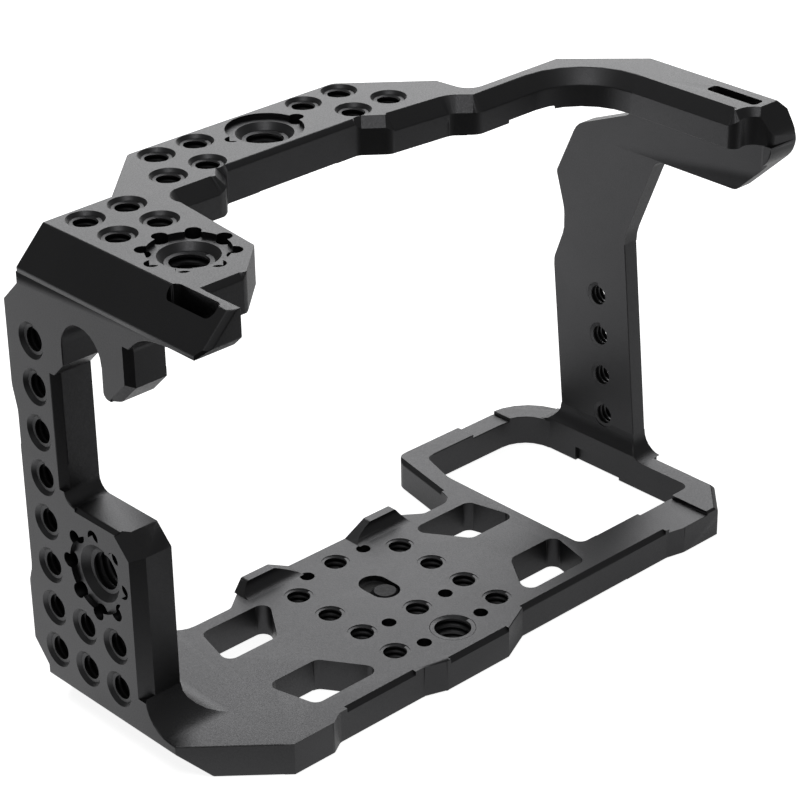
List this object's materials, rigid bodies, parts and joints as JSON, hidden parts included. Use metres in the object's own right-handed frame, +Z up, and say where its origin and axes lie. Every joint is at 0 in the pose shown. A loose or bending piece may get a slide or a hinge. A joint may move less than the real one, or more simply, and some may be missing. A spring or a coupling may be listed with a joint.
{
  "type": "camera cage",
  "caption": "Open black metal frame that closes round a camera body, with a base, a threaded left side plate, a top bar, a grip post and a frame under the battery door.",
  "frame": {"origin": "on the axis of the large tripod thread in the base, at the underside", "axes": "+X towards the grip post, +Y towards the lens, +Z up"},
  "size_m": [0.1544, 0.0772, 0.1042],
  "materials": {
    "anodised_frame": "bead-blasted and black anodised",
    "ring_nylon": "moulded",
    "screw_steel": "turned and blackened"
  },
  "bodies": {
    "cage": {"base_plate": "anodised_frame", "left_lens_lip": "anodised_frame", "right_lens_lip": "anodised_frame", "left_foot": "anodised_frame", "left_side_lower": "anodised_frame", "left_side_column": "anodised_frame", "left_side_upper": "anodised_frame", "cable_hook": "anodised_frame", "rail_tail": "anodised_frame", "top_left_deck": "anodised_frame", "front_bar_left": "anodised_frame", "front_bar_middle": "anodised_frame", "front_bar_right": "anodised_frame", "top_right_corner": "anodised_frame", "grip_bar": "anodised_frame", "grip_arm": "anodised_frame", "grip_post": "anodised_frame", "post_foot": "anodised_frame", "battery_rear_bar": "anodised_frame", "battery_outer_bar": "anodised_frame", "battery_front_bar": "anodised_frame", "battery_inner_bar": "anodised_frame"},
    "retaining_ring": {"retaining_ring": "ring_nylon"},
    "screw_washer": {"screw_washer": "screw_steel"},
    "camera_screw": {"camera_screw": "screw_steel"}
  },
  "joints": [
    {"name": "ring_slide", "type": "slide", "parent": "cage", "child": "retaining_ring", "axis": [0, 1, 0], "range_m": [0, 0.0035]},
    {"name": "screw_lift", "type": "slide", "parent": "retaining_ring", "child": "screw_washer", "axis": [0, 0, 1], "range_m": [0, 0.0037]},
    {"name": "screw_turn", "type": "hinge", "parent": "screw_washer", "child": "camera_screw", "pos_m": [0, 0.02075, 0], "axis": [0, 0, 1], "continuous": true}
  ]
}
